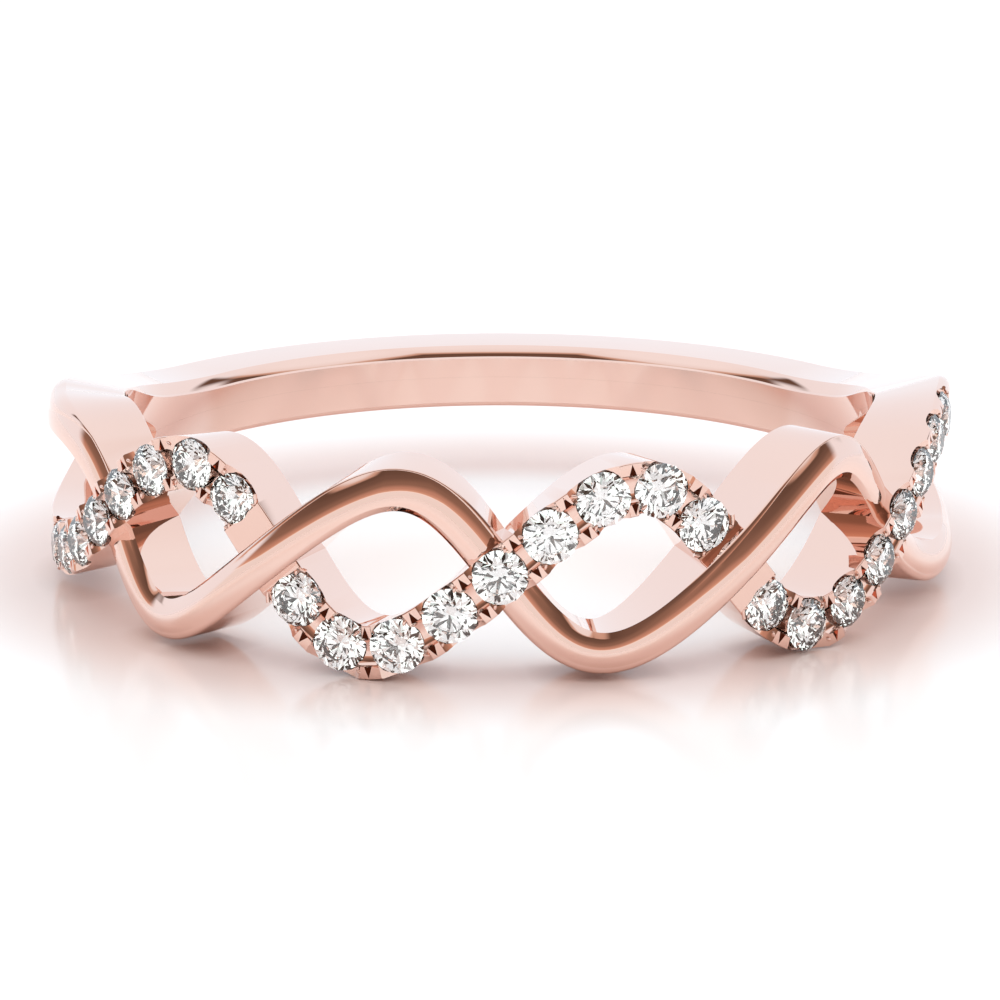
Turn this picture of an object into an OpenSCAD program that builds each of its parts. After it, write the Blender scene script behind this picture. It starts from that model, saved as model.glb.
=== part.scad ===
// Twisted wedding band: a plain shank at the back, and over the front half a polished strand
// and a stone-set strand that cross five times. The ring's axis is Z, its front is towards -Y,
// and the origin is the middle of the finger hole. Azimuths count from the front, + towards +X.

/* [Ring] */
// Inside diameter of the finger hole
bore_d = 17.3; // [16.5:0.1:19]
// Radial thickness of the polished strand at its edges
strand_t = 1.62; // [1.5:0.02:2]
// Radial thickness of the shank
shank_t = 1.64; // [1.3:0.02:2]
// Width of the shank along the finger
shank_w = 1.5; // [1.2:0.02:1.8]
// Soft chamfer on the shank's inner edges
shank_edge = 0.19; // [0.05:0.01:0.3]

/* [Weave] */
// Azimuth from one crossing of the strands to the next
crossing_pitch = 29.6; // [28:0.1:31]
// Height of the waves above the middle of the ring
wave_h = 1.82; // [1.5:0.01:2.1]
// How much steeper a strand runs where it passes under the other
under_skew = 0.22; // [0:0.01:0.35]
// Radial rise of the polished strand where it passes over
plain_weave = 0.26; // [0:0.01:0.35]
// Radial rise of the stone-set strand where it passes over
set_weave = 0.16; // [0:0.01:0.25]
// Azimuth at which the strands are furthest apart beside the shank
shoulder_az = 85.5; // [80:0.5:88]
// Height of the strands there above the middle of the ring
shoulder_h = 1.56; // [1.4:0.01:1.8]
// Azimuth at which the strands have run into the shank
join_az = 123; // [120:1:134]

/* [Strands] */
// Width of the polished strand
plain_w = 0.92; // [0.8:0.01:1.1]
// Rise of the polished strand's domed face above its edges
dome_h = 0.12; // [0.04:0.01:0.2]
// Width of the stone-set strand at the finger hole
set_inner_w = 0.8; // [0.7:0.01:0.95]
// Width of the stone-set strand at its outer face
set_outer_w = 1; // [0.9:0.01:1.1]

/* [Stones] */
// Diameter of the nine stones at the front
front_stone_d = 1.22; // [1.1:0.01:1.24]
// Diameter of the eight stones on each side
side_stone_d = 1.16; // [1.05:0.01:1.18]
// Distance from stone to stone at the front
front_pitch = 1.385; // [1.36:0.005:1.42]
// Distance from stone to stone on the sides
side_pitch = 1.29; // [1.27:0.005:1.32]
// Distance between two groups' end stones, across the crossing that hides the strand
group_gap = 2.62; // [2.5:0.02:2.8]
// Gap between a stone and its seat
seat_gap = 0.02; // [0.01:0.005:0.03]

/* [Hidden] */

bore_r = bore_d / 2;
outer_r = bore_r + strand_t;
shank_r = bore_r + shank_t;
PLAIN = -1;
SET = 1;

// Strands: the height and radius of each strand's middle line at an azimuth
last_crossing = 2 * crossing_pitch;
join_h = 0.21;
shank_az = 112;
slope_step = 0.2;
girdle_r = outer_r - 0.02;

function ease(u) = u * u * (3 - 2 * u);
function wave(a, strand) =
    let (turn = 180 * a / crossing_pitch)
    wave_h * sin(turn - strand * under_skew * sin(turn) * 180 / PI);
function crossing_slope(strand) =
    (wave(last_crossing, strand) - wave(last_crossing - slope_step, strand)) / slope_step;
function climb(a, strand) =
    let (span = shoulder_az - last_crossing, u = (a - last_crossing) / span)
    u * (1 - u) * (1 - u) * span * crossing_slope(strand) + ease(u) * shoulder_h;
function fall(a) =
    let (u = (a - shoulder_az) / (join_az - shoulder_az))
    shoulder_h + (join_h - shoulder_h) * ease(u);
function lift(a, strand) =
    a < last_crossing ? wave(a, strand)
    : a < shoulder_az ? climb(a, strand)
    : a < join_az ? fall(a)
    : join_h;
function strand_z(a, strand) = strand * sign(a) * lift(abs(a), strand);

function weave_of(strand) = strand == SET ? set_weave : plain_weave;
function fade(a) =
    a < last_crossing ? 1
    : a < last_crossing + crossing_pitch ? 1 - ease((a - last_crossing) / crossing_pitch)
    : 0;
function blend(a) =
    a < shoulder_az ? 0
    : a < join_az ? ease((a - shoulder_az) / (join_az - shoulder_az))
    : 1;
function strand_r(a, strand) =
    let (near = abs(a))
    outer_r + strand * weave_of(strand) * cos(180 * near / crossing_pitch) * fade(near)
    - (outer_r - shank_r + 0.02) * blend(near);

// Frames: a point on the middle line with its forward, sideways and outward directions
function on_ring(a, r, z) = [r * sin(a), -r * cos(a), z];
function unit(v) = v / norm(v);
function forward(a, strand) =
    unit(on_ring(a + slope_step, strand_r(a + slope_step, strand), strand_z(a + slope_step, strand))
        - on_ring(a - slope_step, strand_r(a - slope_step, strand), strand_z(a - slope_step, strand)));
function sideways(a, strand) = unit(cross(on_ring(a, 1, 0), forward(a, strand)));
function section_point(a, strand, p) =
    let (side = sideways(a, strand), out = cross(forward(a, strand), side))
    on_ring(a, strand_r(a, strand), strand_z(a, strand)) + p[0] * side + p[1] * out;

// Sections: [sideways, outward] from the middle line, whose inner end is cut by the finger hole
section_step = 2.6;
section_end = 117;
hole_overlap = 0.4;
inner_reach = strand_t + hole_overlap;
rim_drop = 0.12;
dome_steps = 5;

plain_section = [
    [-plain_w / 2, -inner_reach],
    [plain_w / 2, -inner_reach],
    for (i = [0 : dome_steps])
        let (u = 1 - 2 * i / dome_steps)
        [u * plain_w / 2, dome_h * (1 - u * u)]
];
set_section = [
    [-set_inner_w / 2, -inner_reach],
    [set_inner_w / 2, -inner_reach],
    [set_outer_w / 2, -rim_drop],
    [-set_outer_w / 2, -rim_drop]
];

// A closed sweep of a section along one strand
module strand_sweep(strand, section) {
    count = len(section);
    stops = [for (a = [-section_end : section_step : section_end]) a];
    last = len(stops) - 1;
    points = [for (a = stops, p = section) section_point(a, strand, p)];
    walls = [for (i = [0 : last - 1], j = [0 : count - 1])
        let (k = (j + 1) % count, here = i * count, next = (i + 1) * count)
        each [[here + j, next + k, here + k], [here + j, next + j, next + k]]];
    start_cap = [for (j = [1 : count - 2]) [0, j, j + 1]];
    end_cap = [for (j = [1 : count - 2]) [last * count, last * count + j + 1, last * count + j]];
    polyhedron(points = points, faces = concat(walls, start_cap, end_cap));
}

// Stones along the stone-set strand, by the distance measured along it
path_step = 0.5;
path_end = 100;
function path_at(a) = on_ring(a, girdle_r, strand_z(a, SET));
path_table = [for (a = 0, s = 0; a <= path_end;
    s = s + norm(path_at(a + path_step) - path_at(a)), a = a + path_step) [s, a]];
function az_along(s) = sign(s) * lookup(abs(s), path_table);

front_half = 4;
side_count = 8;
side_start = front_half * front_pitch + group_gap;
front_stones = [for (i = [-front_half : front_half]) [az_along(i * front_pitch), front_stone_d]];
side_stones = [for (i = [0 : side_count - 1]) [az_along(side_start + i * side_pitch), side_stone_d]];
left_stones = [for (i = [side_count - 1 : -1 : 0]) [-side_stones[i][0], side_stone_d]];
stones = concat(left_stones, front_stones, side_stones);

// Claws stand midway between two stones, and past the end stones of a group
claw_reach = 0.14;
claw_foot = 0.7;
claw_side = 0.45;
front_claw_r = 0.17;
side_claw_r = 0.15;
function claw_distances(first, count, pitch) = [for (i = [0 : count]) first + (i - 0.5) * pitch];
front_claws = [for (s = claw_distances(-front_half * front_pitch, 2 * front_half + 1, front_pitch))
    [az_along(s), front_claw_r]];
side_claws = [for (s = claw_distances(side_start, side_count, side_pitch), side = [-1, 1])
    [side * az_along(s), side_claw_r]];
claws = concat(front_claws, side_claws);

// Local Z points outwards, X along the strand and Y across it
module on_strand(a, r) {
    ahead = path_at(a + slope_step) - path_at(a - slope_step);
    run = norm([ahead[0], ahead[1]]);
    rotate([0, 0, a])
        translate([0, -r, strand_z(a, SET)])
            rotate([90, 0, 0])
                rotate([0, 0, atan2(ahead[2], run)])
                    children();
}

function stone_r(a) = girdle_r + set_weave * cos(180 * abs(a) / crossing_pitch) * fade(abs(a));

// Round brilliant outline from its table down to its culet, as parts of its diameter
table_part = 0.56;
table_height = 0.17;
girdle_height = 0.03;
culet_depth = 0.43;
module stone_shape(d) {
    rotate_extrude($fn = 32)
        polygon(d * [
            [0, table_height],
            [table_part / 2, table_height],
            [0.5, girdle_height / 2],
            [0.5, -girdle_height / 2],
            [0, -culet_depth]
        ]);
}

// The room that a stone takes out of its strand, with a gap below it and open above
seat_top = 1;
module seat(d) {
    r = d / 2 + seat_gap;
    depth = culet_depth * d + 1.5 * seat_gap;
    translate([0, 0, -girdle_height * d / 2]) {
        cylinder(r = r, h = seat_top, $fn = 32);
        translate([0, 0, -depth])
            cylinder(r1 = 0, r2 = r, h = depth, $fn = 32);
    }
}

module claw_pair(r) {
    for (side = [-1, 1])
        translate([0, side * claw_side, -claw_foot])
            cylinder(r = r, h = claw_foot + claw_reach, $fn = 16);
}

// The shank turns from one join round the back to the other
outer_edge = 0.06;
module shank() {
    half = shank_w / 2;
    rotate([0, 0, -90 + shank_az])
        rotate_extrude(angle = 360 - 2 * shank_az, $fn = 180)
            polygon([
                [bore_r - hole_overlap, -half + shank_edge],
                [bore_r, -half + shank_edge],
                [bore_r + shank_edge, -half],
                [shank_r - outer_edge, -half],
                [shank_r, -half + outer_edge],
                [shank_r, half - outer_edge],
                [shank_r - outer_edge, half],
                [bore_r + shank_edge, half],
                [bore_r, half - shank_edge],
                [bore_r - hole_overlap, half - shank_edge]
            ]);
}

hole_h = 12;
module band() {
    color("rosybrown")
        difference() {
            union() {
                shank();
                strand_sweep(PLAIN, plain_section);
                strand_sweep(SET, set_section);
                for (claw = claws)
                    on_strand(claw[0], stone_r(claw[0]))
                        claw_pair(claw[1]);
            }
            cylinder(r = bore_r, h = hole_h, center = true, $fn = 180);
            for (stone = stones)
                on_strand(stone[0], stone_r(stone[0]))
                    seat(stone[1]);
        }
}

module stone(i) {
    color("aliceblue")
        on_strand(stones[i][0], stone_r(stones[i][0]))
            stone_shape(stones[i][1]);
}

band();
for (i = [0 : len(stones) - 1])
    stone(i);
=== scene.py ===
"""Twisted wedding band: a polished strand and a stone-set strand that wind over and under each other."""

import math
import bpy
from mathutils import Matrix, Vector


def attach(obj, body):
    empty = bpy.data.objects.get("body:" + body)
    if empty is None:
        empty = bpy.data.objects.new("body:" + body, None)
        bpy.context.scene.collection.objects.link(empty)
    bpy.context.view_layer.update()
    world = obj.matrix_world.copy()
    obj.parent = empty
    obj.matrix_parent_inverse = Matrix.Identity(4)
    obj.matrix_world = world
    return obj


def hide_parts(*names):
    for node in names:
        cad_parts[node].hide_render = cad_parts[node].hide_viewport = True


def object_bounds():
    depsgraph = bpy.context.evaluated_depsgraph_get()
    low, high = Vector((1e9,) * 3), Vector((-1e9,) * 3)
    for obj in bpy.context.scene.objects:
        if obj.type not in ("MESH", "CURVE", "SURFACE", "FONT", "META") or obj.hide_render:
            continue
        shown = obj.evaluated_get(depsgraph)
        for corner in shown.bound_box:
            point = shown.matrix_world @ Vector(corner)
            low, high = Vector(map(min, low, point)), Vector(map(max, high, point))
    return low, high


bl_info = {
    "name": "Twisted Wedding Band",
    "version": (1, 0, 0),
    "blender": (4, 5, 0),
    "location": "View3D > Sidebar > Ring",
    "description": "Builds a rose gold band of two woven strands, one of them set with small brilliants",
    "category": "Mesh",
}

import bmesh
import bpy
from bpy.props import FloatProperty, FloatVectorProperty, IntProperty, PointerProperty
from mathutils import Matrix, Vector

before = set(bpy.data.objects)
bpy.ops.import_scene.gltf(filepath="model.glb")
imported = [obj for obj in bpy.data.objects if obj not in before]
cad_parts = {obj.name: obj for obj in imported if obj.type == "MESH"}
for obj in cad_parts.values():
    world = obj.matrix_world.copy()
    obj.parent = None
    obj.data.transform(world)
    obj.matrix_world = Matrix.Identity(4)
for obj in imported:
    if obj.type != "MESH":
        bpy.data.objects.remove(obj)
CAD_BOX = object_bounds()
METAL_NODE = "band"
STONE_NODES = sorted(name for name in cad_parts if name.startswith("stone_"))

MM = 0.001
PLAIN = -1
SET = 1


# ---------------------------------------------------------------- sizes and colours


class RingSizes(bpy.types.PropertyGroup):
    bore: FloatProperty(
        name="Finger hole", description="Inside diameter", default=0.0173, unit="LENGTH")
    strand_depth: FloatProperty(
        name="Strand depth", description="Radial thickness of the strands", default=0.00162, unit="LENGTH")
    shank_depth: FloatProperty(
        name="Shank depth", description="Radial thickness of the shank", default=0.00164, unit="LENGTH")
    shank_width: FloatProperty(
        name="Shank width", description="Width of the shank along the finger", default=0.00149, unit="LENGTH")
    shank_edge: FloatProperty(
        name="Shank edge", description="Soft edge inside the shank", default=0.00028, unit="LENGTH")
    plain_width: FloatProperty(
        name="Polished strand", description="Width of the polished strand", default=0.00091, unit="LENGTH")
    dome: FloatProperty(
        name="Dome", description="Rise of the polished strand's face", default=0.00019, unit="LENGTH")
    set_inner_width: FloatProperty(
        name="Setting, inside", description="Width of the stone-set strand at the finger", default=0.00076,
        unit="LENGTH")
    set_outer_width: FloatProperty(
        name="Setting, outside", description="Width of the stone-set strand at the stones", default=0.0012,
        unit="LENGTH")
    wave: FloatProperty(
        name="Wave", description="Height of the waves above the middle of the ring", default=0.00182,
        unit="LENGTH")
    shoulder: FloatProperty(
        name="Shoulder", description="Height of the strands beside the shank", default=0.00156, unit="LENGTH")
    crossing_step: FloatProperty(
        name="Crossings", description="Angle from one crossing to the next", default=math.radians(29.6),
        unit="ROTATION")
    shoulder_angle: FloatProperty(
        name="Shoulder angle", description="Where the strands are furthest apart beside the shank",
        default=math.radians(85.5), unit="ROTATION")
    stations: IntProperty(
        name="Stations", description="Cross-sections along each strand", default=540, min=180, max=900)


class StoneSizes(bpy.types.PropertyGroup):
    front: FloatProperty(
        name="Front stones", description="Diameter of the stones at the front", default=0.00122, unit="LENGTH")
    side: FloatProperty(
        name="Side stones", description="Diameter of the stones on the sides", default=0.00116, unit="LENGTH")
    front_pitch: FloatProperty(
        name="Front pitch", description="Distance from stone to stone at the front", default=0.001385,
        unit="LENGTH")
    side_pitch: FloatProperty(
        name="Side pitch", description="Distance from stone to stone on the sides", default=0.00129,
        unit="LENGTH")
    group_gap: FloatProperty(
        name="Group gap", description="Distance between end stones across a crossing", default=0.00262,
        unit="LENGTH")
    table: FloatProperty(
        name="Table", description="Table width as a part of the diameter", default=0.57, subtype="FACTOR")
    crown: FloatProperty(
        name="Crown", description="Crown height as a part of the diameter", default=0.15, subtype="FACTOR")
    pavilion: FloatProperty(
        name="Pavilion", description="Pavilion depth as a part of the diameter", default=0.43, subtype="FACTOR")
    claw: FloatProperty(
        name="Claw", description="Radius of a claw's tip", default=0.00005, unit="LENGTH")


class RingFinish(bpy.types.PropertyGroup):
    gold: FloatVectorProperty(
        name="Rose gold", description="Colour of the metal seen straight on", subtype="COLOR",
        default=(0.84, 0.60, 0.52), min=0, max=1)
    polish: FloatProperty(
        name="Polish", description="Roughness of the polished faces", default=0.025, subtype="FACTOR")
    stone_tint: FloatVectorProperty(
        name="Stones", description="Tint of the stones", subtype="COLOR", default=(1.0, 1.0, 1.0), min=0, max=1)
    # Painted light: this rose colour round the ring's foot stands in for light bounced off the gold. It is not
    # a colour the floor has.
    painted_glow: FloatVectorProperty(
        name="Floor glow", description="Colour of the floor round the foot of the ring", subtype="COLOR",
        default=(0.86, 0.72, 0.68), min=0, max=1)
    floor: FloatVectorProperty(
        name="Floor", description="Colour of the studio floor", subtype="COLOR", default=(0.95, 0.945, 0.945),
        min=0, max=1)


# ---------------------------------------------------------------- the weave


def ease(u):
    u = min(max(u, 0.0), 1.0)
    return u * u * (3 - 2 * u)


def after(near, start, span):
    """Rises from 0 at one azimuth to 1 a span further on."""
    return ease((near - start) / span)


def mix(a, b, t):
    return a + (b - a) * t


class Weave:
    """The two strands' middle lines and frames, in millimetres and degrees.

    Azimuths count from the front, and near is an azimuth without its sign.
    """

    # How much steeper a strand runs where it passes under, and how far it stands out where it passes over
    UNDER_SKEW = 0.22
    RISE = {PLAIN: 0.26, SET: 0.16}
    # Where the strands have become the shank, and how their outer edges curve towards it
    JOIN = 132.0
    JOIN_CURVE = 0.87
    # Where the eye between them starts to close, where it is closed, and what each strand keeps from the middle
    EYE_ROUND = 99.0
    EYE_END = 110.0
    HAIR = 0.0005
    # Spans past the shoulder over which both strands get one width, and over which their sections turn upright
    ONE_WIDTH = 12
    UPRIGHT = 8
    # First azimuth and span of the shoulder's soft outer edge, and of its end
    SHOULDER_START = (62, 20)
    SHOULDER_END = (92, 30)
    # Step in azimuth for slopes
    STEP = 0.2

    def __init__(self, sizes):
        self.bore_r = sizes.bore / MM / 2
        self.outer_r = self.bore_r + sizes.strand_depth / MM
        self.shank_r = self.bore_r + sizes.shank_depth / MM
        self.half_shank = sizes.shank_width / MM / 2
        self.wave_h = sizes.wave / MM
        self.shoulder_h = sizes.shoulder / MM
        self.pitch = math.degrees(sizes.crossing_step)
        self.shoulder_az = math.degrees(sizes.shoulder_angle)
        self.last = 2 * self.pitch
        self.half_plain = sizes.plain_width / MM / 2

    def wave(self, a, strand):
        turn = math.pi * a / self.pitch
        return self.wave_h * math.sin(turn - strand * self.UNDER_SKEW * math.sin(turn))

    def climb(self, a, strand):
        """Height between the last crossing and the shoulder."""
        span = self.shoulder_az - self.last
        u = (a - self.last) / span
        slope = (self.wave(self.last, strand) - self.wave(self.last - self.STEP, strand)) / self.STEP
        return u * (1 - u) ** 2 * span * slope + ease(u) * self.shoulder_h

    def top_edge(self, near):
        """Height of a strand's outer side edge between the shoulder and the shank."""
        u = max(near - self.shoulder_az, 0) / (self.JOIN - self.shoulder_az)
        high = self.shoulder_h + self.half_plain
        return mix(high, self.half_shank, ease(u**self.JOIN_CURVE))

    def eye_edge(self, near):
        """Height of its edge beside the eye, which closes a hair short of the middle of the ring."""
        low = self.top_edge(near) - 2 * self.half_plain
        u = (near - self.EYE_ROUND) / (self.EYE_END - self.EYE_ROUND)
        if u <= 0:
            return low
        return max(low * math.sqrt(max(1 - u * u, 0.0)), self.HAIR)

    def lift(self, near, strand):
        """Height of the middle line, before its sign."""
        if near < self.last:
            return self.wave(near, strand)
        if near < self.shoulder_az:
            return self.climb(near, strand)
        return (self.top_edge(near) + self.eye_edge(near)) / 2

    def half_width(self, near, full):
        """Half of the strand's width: full / 2 up to the shoulder, then what the two edges leave."""
        if near < self.shoulder_az:
            return full / 2
        grown = (self.top_edge(near) - self.eye_edge(near)) / (2 * self.half_plain)
        return mix(full / 2, self.half_plain, after(near, self.shoulder_az, self.ONE_WIDTH)) * grown

    def height(self, a, strand):
        return strand * math.copysign(1, a) * self.lift(abs(a), strand)

    def lean(self, a, strand):
        """From -1 in a trough of the wave to 1 on its crest."""
        return max(-1.0, min(1.0, self.height(a, strand) / self.wave_h))

    def shank_share(self, near):
        return after(near, self.shoulder_az, self.JOIN - self.shoulder_az)

    def shoulder_share(self, near):
        return after(near, *self.SHOULDER_START) * (1 - after(near, *self.SHOULDER_END))

    def rise(self, a, strand):
        """How far a strand stands out (or in) at an azimuth, which fades past the last crossing."""
        near = abs(a)
        fade = 1 - after(near, self.last, self.pitch)
        return strand * self.RISE[strand] * math.cos(math.pi * near / self.pitch) * fade

    def radius(self, a, strand):
        return mix(self.outer_r, self.shank_r, self.shank_share(abs(a))) + self.rise(a, strand)

    def on_ring(self, a, r, z):
        t = math.radians(a)
        return Vector((r * math.sin(t), -r * math.cos(t), z))

    def middle(self, a, strand):
        return self.on_ring(a, self.radius(a, strand), self.height(a, strand))

    def axes(self, a, strand):
        """Sideways and outward directions at an azimuth. Past the shoulder, sideways is upright."""
        ahead = self.middle(a + self.STEP, strand) - self.middle(a - self.STEP, strand)
        ahead.z *= 1 - after(abs(a), self.shoulder_az, self.UPRIGHT)
        ahead.normalize()
        side = self.on_ring(a, 1, 0).cross(ahead).normalized()
        return side, ahead.cross(side)


# ---------------------------------------------------------------- sections of the strands


CORNER_STEPS = 8
DOME_STEPS = 10
EDGE_STEPS = 8
# Vertices closer together than MERGE are merged, and faces thinner than SLIVER are dissolved
MERGE = 1e-5
SLIVER = 1e-6
# Angle in degrees from which an edge of the strands stays sharp
CRISP = 13
# Azimuth up to which a strand's eye side changes with the wave. Past it one strand is above the eye, one below
FRONT_END = 60

# The pairs in degrees below are a first azimuth and a span, over which something grows or goes

# Corners of a face: inward, down and roundness. The one away from the eye is larger in a trough than on a crest
PLAIN_EYE_CORNER = (0.13, 0.1, 0.0)
PLAIN_CORNER = {"crest": 0.035, "trough": 0.17}
SET_CORNER = (0.03, 0.04, 1.0)
SHANK_CORNER = 0.05
SHOULDER_ROUND = {PLAIN: 0.4, SET: 0.26}
# The eye side's corners close where both strands have become one shank
FACE_SEAM = (104, 10)
HOLE_SEAM = (104, 6)

# The polished face slopes sideways, more on a crest and less in a trough, and its dome is flatter on a crest
TILT = 0.09
CREST_TILT = 0.03
TROUGH_TILT = 0.06
CREST_FLAT = 0.4
# Height of the stone-set strand's face above its middle line
WALL_TOP = 0.1

# Edges at the finger hole: how round, how far up the wall, and how large before they grow to the shank's size
EDGE_ROUND = 0.25
EDGE_REACH = 0.9
STRAND_EDGE = 0.03
EDGE_GROWTH = (95, 20)
# Share of that size at the foot of the ring
LOW_EDGE = 0.4

# The walls draw in towards the finger hole: beside the eyes at the front, and outside at the shoulders
EYE_TAPER = 0.09
EYE_TAPER_END = (60, 15)
SHOULDER_TAPER = 0.33
SHOULDER_TAPER_START = (68, 22)
SHOULDER_TAPER_END = (90, 45)
# Span past the shoulder over which the stone-set strand's walls become upright
SET_UPRIGHT = 20
# How far a wall's line is drawn past the finger hole
PAST_HOLE = 0.3


def bend(steps, roundness):
    """Steps from (0, 1) to (1, 0), along a flat chamfer (0) or a quarter of a circle (1)."""
    for i in range(steps + 1):
        u = i / steps
        q = math.pi / 2 * u
        yield mix(u, 1 - math.cos(q), roundness), mix(1 - u, 1 - math.sin(q), roundness)


def corner_points(half, height, inward, down, roundness):
    """A wall's top corner at -half."""
    return [(-half + inward * x, height - down * y) for x, y in bend(CORNER_STEPS, roundness)]


def outer_profile(weave, sizes, a, strand):
    """The points across a strand's face, from the wall at -sideways to the one at +sideways."""
    near = abs(a)
    shank = weave.shank_share(near)
    lean = weave.lean(a, strand)
    if strand == PLAIN:
        half = weave.half_width(near, sizes.plain_width / MM)
        soft = mix(PLAIN_CORNER["crest"], PLAIN_CORNER["trough"], (1 - lean) / 2)
        beside_eye, outside = PLAIN_EYE_CORNER, (soft, soft, 1.0)
        crest = max(lean, 0.0)
        tilt = TILT + CREST_TILT * crest - TROUGH_TILT * max(-lean, 0.0)
        dome, top = sizes.dome / MM * (1 - CREST_FLAT * crest), 0.0
    else:
        half = weave.half_width(near, sizes.set_outer_width / MM)
        beside_eye, outside = SET_CORNER, SET_CORNER
        dome, tilt, top = 0.0, 0.0, WALL_TOP
    dome, tilt, top = dome * (1 - shank), tilt * (1 - shank), top * (1 - shank)
    seam = after(near, *FACE_SEAM)
    beside_eye = [mix(size, 0.0, seam) for size in beside_eye]
    rounding = SHOULDER_ROUND[strand] * weave.shoulder_share(near)
    outside = [max(mix(size, SHANK_CORNER, shank), rounding) for size in outside[:2]] + [1.0]
    if near < FRONT_END:
        share = (1 + lean) / 2
        left = [mix(a, b, share) for a, b in zip(outside, beside_eye)]
        right = [mix(a, b, share) for a, b in zip(beside_eye, outside)]
    elif weave.height(a, strand) > 0:
        left, right = beside_eye, outside
    else:
        left, right = outside, beside_eye

    def face(s):
        return top + dome * (1 - (s / half) ** 2) - tilt * s / half

    points = corner_points(half, face(-half + left[0]), *left)
    for i in range(1, DOME_STEPS):
        s = mix(-half + left[0], half - right[0], i / DOME_STEPS)
        points.append((s, face(s)))
    mirrored = corner_points(half, face(half - right[0]), *right)
    points.extend((-s, h) for s, h in reversed(mirrored))
    return points


def section(weave, sizes, a, strand):
    """One closed cross-section in space. Its inner end lies on the finger hole."""
    near = abs(a)
    side, out = weave.axes(a, strand)
    middle = weave.middle(a, strand)
    outline = outer_profile(weave, sizes, a, strand)
    half = outline[-1][0]
    up = weave.height(a, strand) > 0
    if strand == PLAIN:
        lean = weave.lean(a, strand)
        taper = EYE_TAPER * (1 - after(near, *EYE_TAPER_END))
        inner = {-1: half - taper * (1 + lean) / 2, 1: half - taper * (1 - lean) / 2}
    else:
        narrow = sizes.set_inner_width / sizes.set_outer_width
        foot = half * mix(narrow, 1.0, after(near, weave.shoulder_az, SET_UPRIGHT))
        inner = {-1: foot, 1: foot}
    taper = SHOULDER_TAPER * after(near, *SHOULDER_TAPER_START)
    inner[1 if up else -1] -= taper * (1 - after(near, *SHOULDER_TAPER_END))

    def on_hole(point):
        """Moves a point onto the finger hole, at its own height."""
        share = weave.bore_r / math.hypot(point.x, point.y)
        return Vector((point.x * share, point.y * share, point.z))

    def wall_line(s_top, s_low):
        """The top of a wall, and the point where the wall meets the finger hole."""
        top = middle + side * s_top[0] + out * s_top[1]
        toe = middle + side * s_low - out * (weave.outer_r - weave.bore_r + PAST_HOLE)
        run = toe - top
        square = run.x**2 + run.y**2
        linear = 2 * (top.x * run.x + top.y * run.y)
        rest = top.x**2 + top.y**2 - weave.bore_r**2
        t = (-linear - math.sqrt(linear * linear - 4 * square * rest)) / (2 * square)
        return top, top + run * t

    def hole_edge(sign, size):
        """The soft edge between a wall and the finger hole, from the wall on."""
        top, foot = wall_line(outline[0] if sign < 0 else outline[-1], sign * inner[sign])
        up_wall = (top - foot).normalized()
        outward = foot.normalized()
        across = -sign * side
        across = (across - outward * across.dot(outward)).normalized()
        steps = bend(EDGE_STEPS, EDGE_ROUND)
        points = [foot + up_wall * size * EDGE_REACH * y + across * size * x for x, y in steps]
        points[-1] = on_hole(points[-1])
        return points

    soft = mix(STRAND_EDGE, sizes.shank_edge / MM, after(near, *EDGE_GROWTH))
    hidden = mix(STRAND_EDGE, 0.0, after(near, *HOLE_SEAM))
    low_edge = hole_edge(-1, hidden if up else LOW_EDGE * soft)
    high_edge = hole_edge(1, soft if up else hidden)
    hole_mid = on_hole((low_edge[-1] + high_edge[-1]) / 2)
    face = [middle + side * s + out * h for s, h in outline]
    return [hole_mid, *reversed(low_edge), *face, *high_edge]


def sweep(weave, sizes, strand):
    """A grid wrapped round one strand's sections, closed along its seam and at both ends."""
    rows = sizes.stations
    azimuths = [mix(-180, 180, i / rows) for i in range(rows + 1)]
    rings = [section(weave, sizes, a, strand) for a in azimuths]
    count = len(rings[0])
    bm = bmesh.new()
    bmesh.ops.create_grid(bm, x_segments=rows, y_segments=count, size=1)
    for v in bm.verts:
        i = round((v.co.x + 1) / 2 * rows)
        j = round((v.co.y + 1) / 2 * count)
        v.co = rings[i][j % count]
    bmesh.ops.remove_doubles(bm, verts=bm.verts, dist=MERGE)
    bmesh.ops.dissolve_degenerate(bm, dist=SLIVER, edges=bm.edges)
    rims = [e for e in bm.edges if e.is_boundary]
    bmesh.ops.holes_fill(bm, edges=rims, sides=0)
    bmesh.ops.recalc_face_normals(bm, faces=bm.faces)
    return bm


# ---------------------------------------------------------------- stones along the strand


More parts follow.
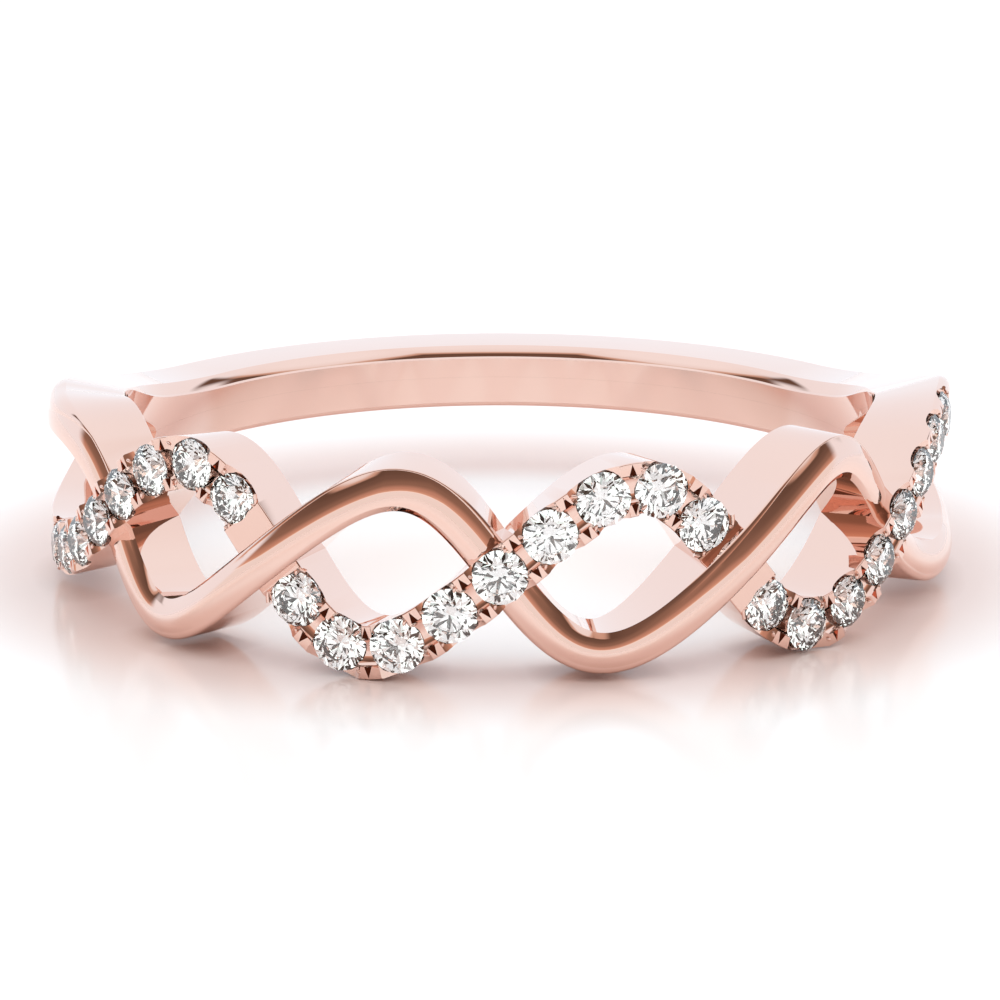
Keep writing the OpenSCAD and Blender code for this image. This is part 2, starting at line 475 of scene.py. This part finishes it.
class Row:
    """Azimuths of the stones and of the gaps between them, measured along the stone-set strand."""

    # Stones on each side of the one in front, and stones in each group on a side
    HALF_FRONT = 4
    SIDES = 8
    # Depth of the girdles below the strand's middle line
    BELOW_TOP = 0.02
    # Step and end, in degrees, of the table of distances
    TABLE_STEP = 0.5
    TABLE_END = 100

    def __init__(self, weave, stones):
        self.weave = weave
        self.girdle_r = weave.outer_r - self.BELOW_TOP
        self.front_pitch = stones.front_pitch / MM
        self.side_pitch = stones.side_pitch / MM
        self.sizes = {"front": stones.front / MM, "side": stones.side / MM}
        self.table = [(0.0, 0.0)]
        a, s = 0.0, 0.0
        while a < self.TABLE_END:
            s += (self.path(a + self.TABLE_STEP) - self.path(a)).length
            a += self.TABLE_STEP
            self.table.append((s, a))
        self.start = self.HALF_FRONT * self.front_pitch + stones.group_gap / MM

    def path(self, a):
        return self.weave.on_ring(a, self.girdle_r, self.weave.height(a, SET) if a else 0.0)

    def azimuth(self, s):
        far = abs(s)
        for (s0, a0), (s1, a1) in zip(self.table, self.table[1:]):
            if far <= s1:
                return math.copysign(mix(a0, a1, (far - s0) / (s1 - s0)), s)
        raise RuntimeError("the row of stones is longer than the strand")

    def groups(self):
        """For each group: its stones' distances along the strand, pitch and diameter."""
        front = [i * self.front_pitch for i in range(-self.HALF_FRONT, self.HALF_FRONT + 1)]
        right = [self.start + i * self.side_pitch for i in range(self.SIDES)]
        left = [-s for s in reversed(right)]
        return [
            (left, self.side_pitch, self.sizes["side"]),
            (front, self.front_pitch, self.sizes["front"]),
            (right, self.side_pitch, self.sizes["side"]),
        ]

    def spots(self):
        """Each stone's distance along the strand, and its pitch."""
        return [(s, pitch) for group, pitch, d in self.groups() for s in group]

    def stones(self):
        """Each stone's azimuth and diameter."""
        return [(self.azimuth(s), d) for group, pitch, d in self.groups() for s in group]

    def gaps(self):
        """Azimuth, pitch and stone diameter of each gap, and which sides of it hold a stone."""
        out = []
        for group, pitch, d in self.groups():
            for i in range(len(group) + 1):
                s = group[0] + (i - 0.5) * pitch
                out.append((self.azimuth(s), pitch, d, (i > 0, i < len(group))))
        return out

    def bars(self):
        """Azimuths of the gaps with a stone on both sides."""
        return [a for a, pitch, d, held in self.gaps() if all(held)]

    def seat(self, a):
        """Places a local frame on the strand: X along it, Y across it and Z outwards, at the girdle."""
        r = self.girdle_r + self.weave.rise(a, SET)
        step = self.weave.STEP
        ahead = self.weave.on_ring(a + step, self.girdle_r, self.weave.height(a + step, SET))
        ahead -= self.weave.on_ring(a - step, self.girdle_r, self.weave.height(a - step, SET))
        out = self.weave.on_ring(a, 1, 0)
        along = (ahead - out * ahead.dot(out)).normalized()
        across = out.cross(along)
        place = Matrix((along, across, out)).transposed().to_4x4()
        place.translation = self.weave.on_ring(a, r, self.weave.height(a, SET))
        return place


def turned(profile, steps):
    """Spins a profile of [radius, height] points about Z and closes it."""
    bm = bmesh.new()
    verts = [bm.verts.new((r, 0, h)) for r, h in profile]
    edges = [bm.edges.new(pair) for pair in zip(verts, verts[1:])]
    bmesh.ops.spin(bm, geom=verts + edges, cent=(0, 0, 0), axis=(0, 0, 1), angle=2 * math.pi,
                   steps=steps, use_merge=True)
    bmesh.ops.remove_doubles(bm, verts=bm.verts, dist=MERGE)
    bmesh.ops.recalc_face_normals(bm, faces=bm.faces)
    return bm


def add_copy(target, source, place):
    """Adds a placed copy of one bmesh to another."""
    mesh = bpy.data.meshes.new("copy")
    source.to_mesh(mesh)
    mesh.transform(place)
    target.from_mesh(mesh)
    bpy.data.meshes.remove(mesh)


def cutter(sides, moves, scale=(1, 1, 1), **sizes):
    """A cone or cylinder, scaled, then turned and moved by each of the moves in order."""
    bm = bmesh.new()
    bmesh.ops.create_cone(bm, cap_ends=True, segments=sides, **sizes)
    bmesh.ops.scale(bm, verts=bm.verts, vec=scale)
    for move in moves:
        bmesh.ops.transform(bm, verts=bm.verts, matrix=move)
    return bm


# The cutters below are in a seat's local frame, in millimetres
GIRDLE = 0.015  # half of a girdle's height, as a part of its stone's diameter
SEAT_GAP = 0.012
BOWL_SIDES = 48
BOWL_BELOW = 0.06  # under the culet
BOWL_WALL = 0.03  # height of its upright wall
LIP = 0.085  # how far it leans over the stone, and at what height
LIP_HEIGHT = 0.12
MOUTH = 0.035  # how far it still leans over at its open end, and at what height
MOUTH_HEIGHT = 0.5


def bowls(row, stones):
    """The round seats, which lean over the stones' edges above the girdle."""
    cuts = bmesh.new()
    for a, d in row.stones():
        r = d / 2 + SEAT_GAP
        profile = [
            (0, -stones.pavilion * d - BOWL_BELOW), (r, -GIRDLE * d), (r, BOWL_WALL),
            (r - LIP, LIP_HEIGHT), (r - MOUTH, MOUTH_HEIGHT), (0, MOUTH_HEIGHT)]
        bowl = turned(profile, BOWL_SIDES)
        add_copy(cuts, bowl, row.seat(a))
        bowl.free()
    return cuts


RIDGE = 0.17  # half of the wall left between two scallops
SCALLOP_FLOOR = -0.11
SCALLOP_REACH = 0.75
SCALLOP_SIDES = 56
WALL_OUT = 0.6  # from the strand's middle to its walls


def scallops(row, first):
    """Lowers the walls beside every second stone, because neighbours would overlap.

    Each is a cone across the strand. Its ends fit the two walls, of which the one outside a bend is longer.
    """
    cuts = bmesh.new()
    drop = WALL_TOP - SCALLOP_FLOOR
    for s, pitch in row.spots()[first::2]:
        start, end = (row.seat(row.azimuth(s + way * pitch / 2)) for way in (-1, 1))
        radii = []
        for side in (-1, 1):
            wall = Vector((0, WALL_OUT * side, 0))
            half = (end @ wall - start @ wall).length / 2 - RIDGE
            radii.append((half * half + drop * drop) / (2 * drop))
        scoop = cutter(SCALLOP_SIDES, [Matrix.Rotation(-math.pi / 2, 4, "X")],
                       radius1=radii[0], radius2=radii[1], depth=2 * SCALLOP_REACH)
        for v in scoop.verts:
            v.co.z += SCALLOP_FLOOR + mix(*radii, (v.co.y + SCALLOP_REACH) / (2 * SCALLOP_REACH))
        add_copy(cuts, scoop, row.seat(row.azimuth(s)))
        scoop.free()
    return cuts


SADDLE_SIDES = 36
SADDLE_R = 0.33
SADDLE_SQUASH = 0.7
SADDLE_HEIGHT = 0.17
SADDLE_LENGTH = 0.5


def saddles(row):
    """Hollows the bars between the seats."""
    cuts = bmesh.new()
    moves = [
        Matrix.Rotation(math.pi / 2, 4, "Y"), Matrix.Diagonal((1, 1, SADDLE_SQUASH, 1)),
        Matrix.Translation((0, 0, SADDLE_HEIGHT))]
    saddle = cutter(SADDLE_SIDES, moves, radius1=SADDLE_R, radius2=SADDLE_R, depth=SADDLE_LENGTH)
    for a in row.bars():
        add_copy(cuts, saddle, row.seat(a))
    saddle.free()
    return cuts


PIT_WIDTH = 0.6  # along the strand, as a part of its width across
PIT_RADII = (0.02, 0.19)  # at its bottom and its top
PIT_DEPTH = 0.4
PIT_OUT = 0.4
PIT_HEIGHT = -0.03


def pits(row):
    """The dark pits between two claws, pointed at the strand's edge."""
    cuts = bmesh.new()
    for a in row.bars():
        for side in (-1, 1):
            moves = [
                Matrix.Rotation(math.pi / 2 * (1 - side), 4, "Z"),
                Matrix.Translation((0, side * PIT_OUT, PIT_HEIGHT))]
            pit = cutter(3, moves, (PIT_WIDTH, 1, 1),
                         radius1=PIT_RADII[0], radius2=PIT_RADII[1], depth=PIT_DEPTH)
            add_copy(cuts, pit, row.seat(a))
            pit.free()
    return cuts


# ---------------------------------------------------------------- pieces


def finish_piece(name, bm, material, nodes, crease=None):
    """Makes an object of a bmesh in millimetres, gives it its finish and hangs it on the ring."""
    bmesh.ops.scale(bm, verts=bm.verts, vec=(MM, MM, MM))
    mesh = bpy.data.meshes.new(name)
    bm.to_mesh(mesh)
    bm.free()
    mesh.materials.append(material)
    if crease is None:
        mesh.shade_flat()
    else:
        mesh.shade_smooth()
        mesh.set_sharp_from_angle(angle=math.radians(crease))
    piece = bpy.data.objects.new(name, mesh)
    bpy.context.scene.collection.objects.link(piece)
    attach(piece, "root")
    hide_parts(*nodes)


def cut_with(bm, cutters):
    """Cuts one closed bmesh with others, one after another, and returns the result."""
    def as_object(source):
        mesh = bpy.data.meshes.new("cutting")
        source.to_mesh(mesh)
        source.free()
        obj = bpy.data.objects.new("cutting", mesh)
        bpy.context.scene.collection.objects.link(obj)
        return obj

    for cutter_mesh in cutters:
        body, tool = as_object(bm), as_object(cutter_mesh)
        cut = body.modifiers.new("cut", "BOOLEAN")
        cut.operation = "DIFFERENCE"
        cut.solver = "EXACT"
        cut.object = tool
        bpy.context.view_layer.update()
        made = body.evaluated_get(bpy.context.evaluated_depsgraph_get())
        bm = bmesh.new()
        bm.from_mesh(made.to_mesh())
        made.to_mesh_clear()
        for obj in (body, tool):
            mesh = obj.data
            bpy.data.objects.remove(obj)
            bpy.data.meshes.remove(mesh)
        bmesh.ops.remove_doubles(bm, verts=bm.verts, dist=2 * MERGE)
        bmesh.ops.dissolve_degenerate(bm, dist=MERGE, edges=bm.edges)
        bmesh.ops.holes_fill(bm, edges=[e for e in bm.edges if e.is_boundary], sides=8)
    if any(e.is_boundary for e in bm.edges):
        raise RuntimeError("the cut left an open mesh")
    return bm


# Radius of the lower facets' inner corners, as a part of the girdle's
LOWER_FACETS = 0.23
# Triangles of the hull whose faces differ by less than this are one facet
ONE_FACET = math.radians(0.6)


def brilliant(stones, d):
    """A round brilliant of 57 facets: rings of its corners, closed by a convex hull."""
    bm = bmesh.new()
    r = d / 2
    girdle = GIRDLE * d
    table_r = stones.table * r
    crown = stones.crown * d
    deep = stones.pavilion * d
    eighth = math.pi / 8
    slope = crown / (r - table_r)

    def ring(count, radius, height, turn=0.0):
        made = bmesh.ops.create_circle(bm, segments=count, radius=radius)["verts"]
        bmesh.ops.rotate(bm, verts=made, cent=(0, 0, 0), matrix=Matrix.Rotation(turn, 3, "Z"))
        bmesh.ops.translate(bm, verts=made, vec=(0, 0, height))

    star_r = mix(table_r * math.cos(eighth), r, 0.5)
    low_r = LOWER_FACETS * r
    ring(8, table_r, girdle + crown)
    ring(8, star_r, girdle + crown - (star_r * math.cos(eighth) - table_r) * slope, eighth)
    ring(16, r, girdle)
    ring(16, r, -girdle)
    ring(8, low_r, -girdle - deep * (1 - low_r * math.cos(eighth) / r), eighth)
    bm.verts.new((0, 0, -girdle - deep))
    bmesh.ops.delete(bm, geom=bm.edges[:], context="EDGES_FACES")
    hull = bmesh.ops.convex_hull(bm, input=bm.verts)
    loose = [g for g in hull["geom_interior"] + hull["geom_unused"] if isinstance(g, bmesh.types.BMVert)]
    bmesh.ops.delete(bm, geom=loose, context="VERTS")
    bmesh.ops.dissolve_limit(bm, angle_limit=ONE_FACET, verts=bm.verts, edges=bm.edges)
    bmesh.ops.recalc_face_normals(bm, faces=bm.faces)
    return bm


# ---------------------------------------------------------------- materials


def feed(tree, node, inputs):
    """Gives a node's inputs their values, or links them where a value is another node's output."""
    for name, value in inputs.items():
        if isinstance(value, bpy.types.NodeSocket):
            tree.links.new(value, node.inputs[name])
        else:
            node.inputs[name].default_value = value


def add_node(tree, kind, inputs=None, **attributes):
    """Adds a node. Its attributes are set first, because they decide which inputs it has."""
    node = tree.nodes.new(kind)
    for name, value in attributes.items():
        setattr(node, name, value)
    feed(tree, node, inputs or {})
    return node


def opaque(colour):
    """A plain colour with its alpha, or an output as it is."""
    return (*colour, 1) if isinstance(colour, tuple) else colour


def maths(tree, operation, *values):
    node = add_node(tree, "ShaderNodeMath", dict(enumerate(values)), operation=operation)
    return node.outputs["Value"]


def blend(tree, share, a, b):
    """Mixes two colours."""
    inputs = {"Factor": share, "A": opaque(a), "B": opaque(b)}
    return add_node(tree, "ShaderNodeMix", inputs, data_type="RGBA").outputs["Result"]


def linear_step(tree, value, low, high, interpolation="LINEAR"):
    """From 0 where a value is low to 1 where it is high."""
    inputs = {"Value": value, "From Min": low, "From Max": high}
    return add_node(tree, "ShaderNodeMapRange", inputs, interpolation_type=interpolation).outputs["Result"]


def smooth_step(tree, value, low, high):
    return linear_step(tree, value, low, high, "SMOOTHSTEP")


def ramp(tree, stops, value):
    """A colour ramp with smooth steps between its (position, colour) stops."""
    node = add_node(tree, "ShaderNodeValToRGB", {"Fac": value})
    node.color_ramp.interpolation = "EASE"
    elements = node.color_ramp.elements
    while len(elements) < len(stops):
        elements.new(0.5)
    for element, (spot, colour) in zip(elements, stops):
        element.position = spot
        element.color = (*colour, 1)
    return node.outputs["Color"]


def polish_group():
    """Fine wear of a polished metal: hairline scratches and a faint orange-peel."""
    group = bpy.data.node_groups.get("polish_wear")
    if group:
        return group
    group = bpy.data.node_groups.new("polish_wear", "ShaderNodeTree")
    for label, value in (("Roughness", 0.06), ("Scratches", 0.05), ("Ripple", 0.02)):
        socket = group.interface.new_socket(label, in_out="INPUT", socket_type="NodeSocketFloat")
        socket.default_value = value
    group.interface.new_socket("Roughness", in_out="OUTPUT", socket_type="NodeSocketFloat")
    group.interface.new_socket("Normal", in_out="OUTPUT", socket_type="NodeSocketVector")
    given = add_node(group, "NodeGroupInput").outputs
    where = add_node(group, "ShaderNodeTexCoord").outputs["Object"]
    stretch = add_node(group, "ShaderNodeMapping", {
        "Vector": where, "Rotation": (0.3, 0.5, 0.9), "Scale": (14000, 900, 3000)})
    hair = add_node(group, "ShaderNodeTexNoise", {
        "Vector": stretch.outputs["Vector"], "Scale": 1.0, "Detail": 2.0})
    scratches = linear_step(group, hair.outputs["Fac"], 0.62, 0.78)
    peel = add_node(group, "ShaderNodeTexNoise", {"Vector": where, "Scale": 900, "Detail": 1.0})
    bump = add_node(group, "ShaderNodeBump", {
        "Distance": 0.00002, "Strength": given["Ripple"], "Height": peel.outputs["Fac"]})
    add_node(group, "NodeGroupOutput", {
        "Roughness": maths(group, "MULTIPLY_ADD", scratches, given["Scratches"], given["Roughness"]),
        "Normal": bump.outputs["Normal"]})
    return group


def new_material(name):
    material = bpy.data.materials.new(name)
    material.use_nodes = True
    return material, material.node_tree, material.node_tree.nodes["Principled BSDF"]


def gold_material(finish):
    """Polished metal with a faint tone variation.

    Where it mirrors itself a third time it glows faintly, in place of the light of further mirror images.
    """
    material = bpy.data.materials.get("polished_rose_gold")
    if material:
        return material
    material, tree, shader = new_material("polished_rose_gold")
    wear = add_node(tree, "ShaderNodeGroup", {
        "Roughness": finish.polish, "Scratches": 0.04}, node_tree=polish_group())
    where = add_node(tree, "ShaderNodeTexCoord").outputs["Object"]
    cloud = add_node(tree, "ShaderNodeTexNoise", {"Vector": where, "Scale": 400}).outputs["Fac"]
    lighter = tuple(min(1.0, c * 1.05) for c in finish.gold)
    depth = add_node(tree, "ShaderNodeLightPath").outputs["Glossy Depth"]
    feed(tree, shader, {
        "Metallic": 1.0,
        "Base Color": blend(tree, cloud, tuple(finish.gold), lighter),
        "Roughness": wear.outputs["Roughness"],
        "Normal": wear.outputs["Normal"],
        "Emission Color": (0.03, 0.02, 0.014, 1),
        "Emission Strength": maths(tree, "GREATER_THAN", depth, 2.5)})
    return material


def stone_material(finish):
    material = bpy.data.materials.get("brilliant")
    if material:
        return material
    material, tree, shader = new_material("brilliant")
    feed(tree, shader, {
        "Base Color": (*finish.stone_tint, 1), "Roughness": 0.0, "IOR": 2.42, "Transmission Weight": 1.0})
    return material


def floor_material(finish):
    """A white acrylic floor with painted light round the foot of the ring: a rose halo in place of light
    bounced off the gold, and painted shadow where the ring nears the floor.
    """
    material, tree, shader = new_material("studio_floor")
    where = add_node(tree, "ShaderNodeTexCoord").outputs["Object"]
    flat = add_node(tree, "ShaderNodeMapping", {"Vector": where, "Scale": (1, 1, 0)})
    far = add_node(tree, "ShaderNodeVectorMath", {0: flat.outputs["Vector"]}, operation="LENGTH")
    # Painted light: a rose halo of painted bounced light, strongest from 9.6 to 10.65 mm out from the middle,
    # fading to the plain floor by 7.5 and 14.5 mm.
    stops = ((0.0, finish.floor), (0.3, finish.painted_glow), (0.45, finish.painted_glow), (1.0, finish.floor))
    painted_glow = ramp(tree, stops, linear_step(tree, far.outputs["Value"], 0.0075, 0.0145))
    # Painted shadow: the floor's colour darkens towards (0.6, 0.43, 0.37) wherever the ring comes within 0.7 mm
    # of it.
    painted_contact_shadow = add_node(tree, "ShaderNodeAmbientOcclusion", {"Distance": 0.0007})
    feed(tree, shader, {
        "Base Color": blend(tree, painted_contact_shadow.outputs["AO"], (0.6, 0.43, 0.37), painted_glow),
        "Roughness": 0.16,
        "Specular IOR Level": 0.2})
    return material


# ---------------------------------------------------------------- operators


def settings(context):
    scene = context.scene
    return scene.ring_sizes, scene.ring_stones, scene.ring_finish


class RING_OT_metal(bpy.types.Operator):
    """Builds both strands and the shank they run into, with the seats cut"""

    bl_idname = "ring.metal"
    bl_label = "Strands and shank"

    def execute(self, context):
        sizes, stones, finish = settings(context)
        weave = Weave(sizes)
        row = Row(weave, stones)
        gold = gold_material(finish)
        plain = cut_with(sweep(weave, sizes, PLAIN), [bowls(row, stones)])
        finish_piece("polished_strand", plain, gold, [METAL_NODE], CRISP)
        cuts = [bowls(row, stones), scallops(row, 0), scallops(row, 1), saddles(row), pits(row)]
        cut = cut_with(sweep(weave, sizes, SET), cuts)
        finish_piece("set_strand", cut, gold, [METAL_NODE], CRISP)
        return {"FINISHED"}


class RING_OT_claws(bpy.types.Operator):
    """Adds the claws' polished tips over the stones' edges, and the rims past the end stones"""

    bl_idname = "ring.claws"
    bl_label = "Claws"

    # Tips, in a gap's frame: shape, place, how far over the stone they sit, and turn and lean in degrees
    TIP_SHAPE = (1.7, 0.8, 0.9)
    TIP_ACROSS = 0.43
    TIP_HEIGHT = 0.075
    TIP_OVER = 0.05
    TIP_TURN = 40
    TIP_LEAN = 14
    # Rims, in an end stone's frame: the wire's radius, its distance from the stone, its height and half its arc
    RIM_WIRE = 0.045
    RIM_OUT = 0.09
    RIM_HEIGHT = 0.02
    RIM_ARC = math.radians(62)
    # Angle in degrees from which an edge of the claws stays sharp
    CREASE = 60

    def execute(self, context):
        sizes, stones, finish = settings(context)
        row = Row(Weave(sizes), stones)
        claws = bmesh.new()
        self.add_tips(claws, row, stones.claw / MM)
        self.add_rims(claws, row)
        bmesh.ops.recalc_face_normals(claws, faces=claws.faces)
        finish_piece("claws", claws, gold_material(finish), [METAL_NODE], self.CREASE)
        return {"FINISHED"}

    def add_tips(self, claws, row, radius):
        tip = bmesh.new()
        bmesh.ops.create_uvsphere(tip, u_segments=12, v_segments=9, radius=radius)
        bmesh.ops.scale(tip, verts=tip.verts, vec=self.TIP_SHAPE)
        for a, pitch, d, held in row.gaps():
            for side in (-1, 1):
                across = self.TIP_ACROSS * side
                along = pitch / 2 - math.sqrt((d / 2) ** 2 - across**2)
                for way, stone in zip((-1, 1), held):
                    if stone:
                        spot = (way * (along - self.TIP_OVER), across, self.TIP_HEIGHT)
                        place = row.seat(a) @ Matrix.Translation(spot)
                        place = place @ Matrix.Rotation(math.radians(-self.TIP_TURN * way * side), 4, "Z")
                        place = place @ Matrix.Rotation(math.radians(-self.TIP_LEAN * way), 4, "Y")
                        add_copy(claws, tip, place)
        tip.free()

    def add_rims(self, claws, row):
        upright = Matrix.Rotation(math.pi / 2, 3, "X")
        start = Matrix.Rotation(-self.RIM_ARC, 3, "Z")
        for group, pitch, d in row.groups():
            for s, way in ((group[0], -1), (group[-1], 1)):
                rim = bmesh.new()
                wire = bmesh.ops.create_circle(rim, cap_ends=True, segments=12, radius=self.RIM_WIRE)["verts"]
                bmesh.ops.rotate(rim, verts=wire, cent=(0, 0, 0), matrix=upright)
                bmesh.ops.translate(rim, verts=wire, vec=(d / 2 + self.RIM_OUT, 0, self.RIM_HEIGHT))
                bmesh.ops.rotate(rim, verts=wire, cent=(0, 0, 0), matrix=start)
                bmesh.ops.spin(
                    rim, geom=rim.faces[:], cent=(0, 0, 0), axis=(0, 0, 1), angle=2 * self.RIM_ARC, steps=20)
                bmesh.ops.recalc_face_normals(rim, faces=rim.faces)
                add_copy(claws, rim, row.seat(row.azimuth(s)) @ Matrix.Diagonal((way, 1, 1, 1)))
                rim.free()


class RING_OT_stones(bpy.types.Operator):
    """Cuts the brilliants and seats each where its stone is"""

    bl_idname = "ring.stones"
    bl_label = "Stones"

    # Degrees from one stone's turn to the next, so that no two sparkle alike
    TURN = 37

    def execute(self, context):
        sizes, stones, finish = settings(context)
        row = Row(Weave(sizes), stones)
        places = row.stones()
        if len(places) != len(STONE_NODES):
            raise RuntimeError("the row holds %d stones and the frame %d" % (len(places), len(STONE_NODES)))
        material = stone_material(finish)
        for i, (node, (a, d)) in enumerate(zip(STONE_NODES, places)):
            cut = brilliant(stones, d)
            turn = Matrix.Rotation(math.radians(self.TURN * i), 4, "Z")
            bmesh.ops.transform(cut, matrix=row.seat(a) @ turn, verts=cut.verts)
            finish_piece("brilliant_%02d" % (i + 1), cut, material, [node])
        return {"FINISHED"}


class RING_OT_stage(bpy.types.Operator):
    """Lays the floor, lights the studio and sets the camera"""

    bl_idname = "ring.stage"
    bl_label = "Studio"

    FLOOR_RADIUS = 1.2

    # The camera, in metres, degrees and millimetres of lens
    DISTANCE = 0.1362
    ELEVATION = 13.87
    LENS = 211.68
    SHIFT = -0.0388

    # What the metal mirrors, in front of the ring, at the far corners and behind it: the height of a direction,
    # from the floor's horizon (0) to straight up (1), and the light that comes from there
    OPEN = (1.03, 1.12, 1.21)
    ABOVE = (1.05, 1.12, 1.18)
    DARK = (0.15, 0.09, 0.065)
    WALL = (
        (0.0, (1.0, 1.0, 1.0)), (0.25, (1.0, 1.0, 1.0)), (0.27, (1.15, 1.1, 1.05)), (0.29, (0.78, 0.48, 0.35)),
        (0.38, (0.6, 0.34, 0.25)), (0.54, (0.3, 0.18, 0.13)), (0.72, (0.19, 0.115, 0.085)), (0.83, DARK),
        (0.87, (0.7, 0.48, 0.38)), (0.91, (1.0, 1.02, 1.05)), (1.0, ABOVE))
    CORNERS = ((0.0, OPEN), (0.22, OPEN), (0.32, DARK), (0.6, DARK), (0.68, OPEN), (1.0, ABOVE))
    SOFT = ((0.0, OPEN), (0.5, OPEN), (1.0, ABOVE))
    # Where these are, by the depth of a direction (its Y) and by how far it is to one side (its X, unsigned)
    WALL_DEPTH = (0.32, 0.16)
    CORNER_DEPTH = (0.54, 0.45)
    CORNER_SIDES = ((0.56, 0.66), (0.84, 0.74))
    # Towards the sides the wall's bands come lower down, by up to this factor, from this far to one side
    FLANK_FROM = 0.3
    FLANK_FACTOR = 1.61

    # What the stones show: dark and light patches, in two tones, and the dark camera among them
    PATCH_EDGE = (0.4, 0.45)
    PATCH_DARK = (0.01, 0.012, 0.012)
    TONE_EDGE = (0.35, 0.65)
    TONES = ((1.62, 1.78, 1.7), (1.85, 1.76, 1.74))
    LENS_DARK = (0.015, 0.015, 0.016)
    LENS_EDGE = (0.94, 0.97)

    FLOOR_LIGHT = (1.28, 1.27, 1.27)
    BACKDROP = (1.0, 1.0, 1.0)

    def execute(self, context):
        finish = context.scene.ring_finish
        bm = bmesh.new()
        bmesh.ops.create_circle(bm, cap_ends=True, segments=96, radius=self.FLOOR_RADIUS)
        bmesh.ops.translate(bm, verts=bm.verts, vec=(0, 0, CAD_BOX[0].z))
        mesh = bpy.data.meshes.new("studio_floor")
        bm.to_mesh(mesh)
        bm.free()
        mesh.materials.append(floor_material(finish))
        floor = bpy.data.objects.new("studio_floor", mesh)
        context.scene.collection.objects.link(floor)
        self.light(context)
        self.camera(context)
        return {"FINISHED"}

    def metal_light(self, tree, where):
        """The wall in front of the ring, and behind it soft light with two dark corners."""
        sides = add_node(tree, "ShaderNodeSeparateXYZ", {"Vector": where}).outputs
        aside = maths(tree, "ABSOLUTE", sides["X"])
        corner = smooth_step(tree, sides["Y"], *self.CORNER_DEPTH)
        for edge in self.CORNER_SIDES:
            corner = maths(tree, "MULTIPLY", corner, smooth_step(tree, aside, *edge))
        behind = blend(tree, corner, ramp(tree, self.SOFT, sides["Z"]), ramp(tree, self.CORNERS, sides["Z"]))
        flank = add_node(tree, "ShaderNodeMapRange", {
            "Value": aside, "From Min": self.FLANK_FROM, "To Min": 1.0, "To Max": self.FLANK_FACTOR})
        height = maths(tree, "MULTIPLY", sides["Z"], flank.outputs["Result"])
        before = smooth_step(tree, sides["Y"], *self.WALL_DEPTH)
        return blend(tree, before, behind, ramp(tree, self.WALL, height))

    def stone_light(self, tree, where):
        patches = add_node(tree, "ShaderNodeTexNoise", {"Vector": where, "Scale": 2.6, "Detail": 1.0})
        tints = add_node(tree, "ShaderNodeTexNoise", {"Vector": where, "Scale": 3.7})
        toned = blend(tree, smooth_step(tree, tints.outputs["Fac"], *self.TONE_EDGE), *self.TONES)
        light = smooth_step(tree, patches.outputs["Fac"], *self.PATCH_EDGE)
        sparkle = blend(tree, light, self.PATCH_DARK, toned)
        tilt = math.radians(self.ELEVATION)
        lens = add_node(tree, "ShaderNodeVectorMath", {
            0: where, 1: (0, -math.cos(tilt), math.sin(tilt))}, operation="DOT_PRODUCT")
        seen = smooth_step(tree, lens.outputs["Value"], *self.LENS_EDGE)
        return blend(tree, seen, sparkle, self.LENS_DARK)

    def light(self, context):
        """Gives each kind of ray its own light: the metal's, the stones', the floor's and the backdrop's."""
        world = bpy.data.worlds.new("studio")
        context.scene.world = world
        world.use_nodes = True
        tree = world.node_tree
        tree.nodes.clear()

        def background(colour):
            return add_node(tree, "ShaderNodeBackground", {"Color": opaque(colour)}).outputs["Background"]

        where = add_node(tree, "ShaderNodeTexCoord").outputs["Generated"]
        rays = add_node(tree, "ShaderNodeLightPath").outputs
        shown = background(self.metal_light(tree, where))
        for kind, colour in (("Is Transmission Ray", self.stone_light(tree, where)),
                             ("Is Diffuse Ray", self.FLOOR_LIGHT), ("Is Camera Ray", self.BACKDROP)):
            choose = add_node(tree, "ShaderNodeMixShader", {"Fac": rays[kind], 1: shown, 2: background(colour)})
            shown = choose.outputs["Shader"]
        add_node(tree, "ShaderNodeOutputWorld", {"Surface": shown})
        context.scene.view_settings.view_transform = "Standard"

    def camera(self, context):
        data = bpy.data.cameras.new("camera")
        data.lens = self.LENS
        data.sensor_width = 36
        data.shift_y = self.SHIFT
        data.clip_start, data.clip_end = 0.005, 10
        camera = bpy.data.objects.new("camera", data)
        tilt = math.radians(self.ELEVATION)
        camera.location = (0, -self.DISTANCE * math.cos(tilt), self.DISTANCE * math.sin(tilt))
        camera.rotation_euler = (math.pi / 2 - tilt, 0, 0)
        context.scene.collection.objects.link(camera)
        context.scene.camera = camera


class RING_PT_panel(bpy.types.Panel):
    """Lists the ring's pieces and its main sizes"""

    bl_idname = "RING_PT_panel"
    bl_label = "Twisted wedding band"
    bl_space_type = "VIEW_3D"
    bl_region_type = "UI"
    bl_category = "Ring"

    def draw(self, context):
        for operator in OPERATORS:
            self.layout.operator(operator.bl_idname)
        for group in settings(context):
            for name in group.__annotations__:
                self.layout.prop(group, name)


GROUPS = (RingSizes, StoneSizes, RingFinish)
OPERATORS = (RING_OT_stage, RING_OT_metal, RING_OT_claws, RING_OT_stones)
CLASSES = (*GROUPS, *OPERATORS, RING_PT_panel)


def register():
    for cls in CLASSES:
        bpy.utils.register_class(cls)
    bpy.types.Scene.ring_sizes = PointerProperty(type=RingSizes)
    bpy.types.Scene.ring_stones = PointerProperty(type=StoneSizes)
    bpy.types.Scene.ring_finish = PointerProperty(type=RingFinish)


def unregister():
    del bpy.types.Scene.ring_sizes, bpy.types.Scene.ring_stones, bpy.types.Scene.ring_finish
    for cls in reversed(CLASSES):
        bpy.utils.unregister_class(cls)


def main():
    register()
    bpy.ops.ring.stage()
    bpy.ops.ring.metal()
    bpy.ops.ring.claws()
    bpy.ops.ring.stones()


if __name__ == "__main__":
    main()
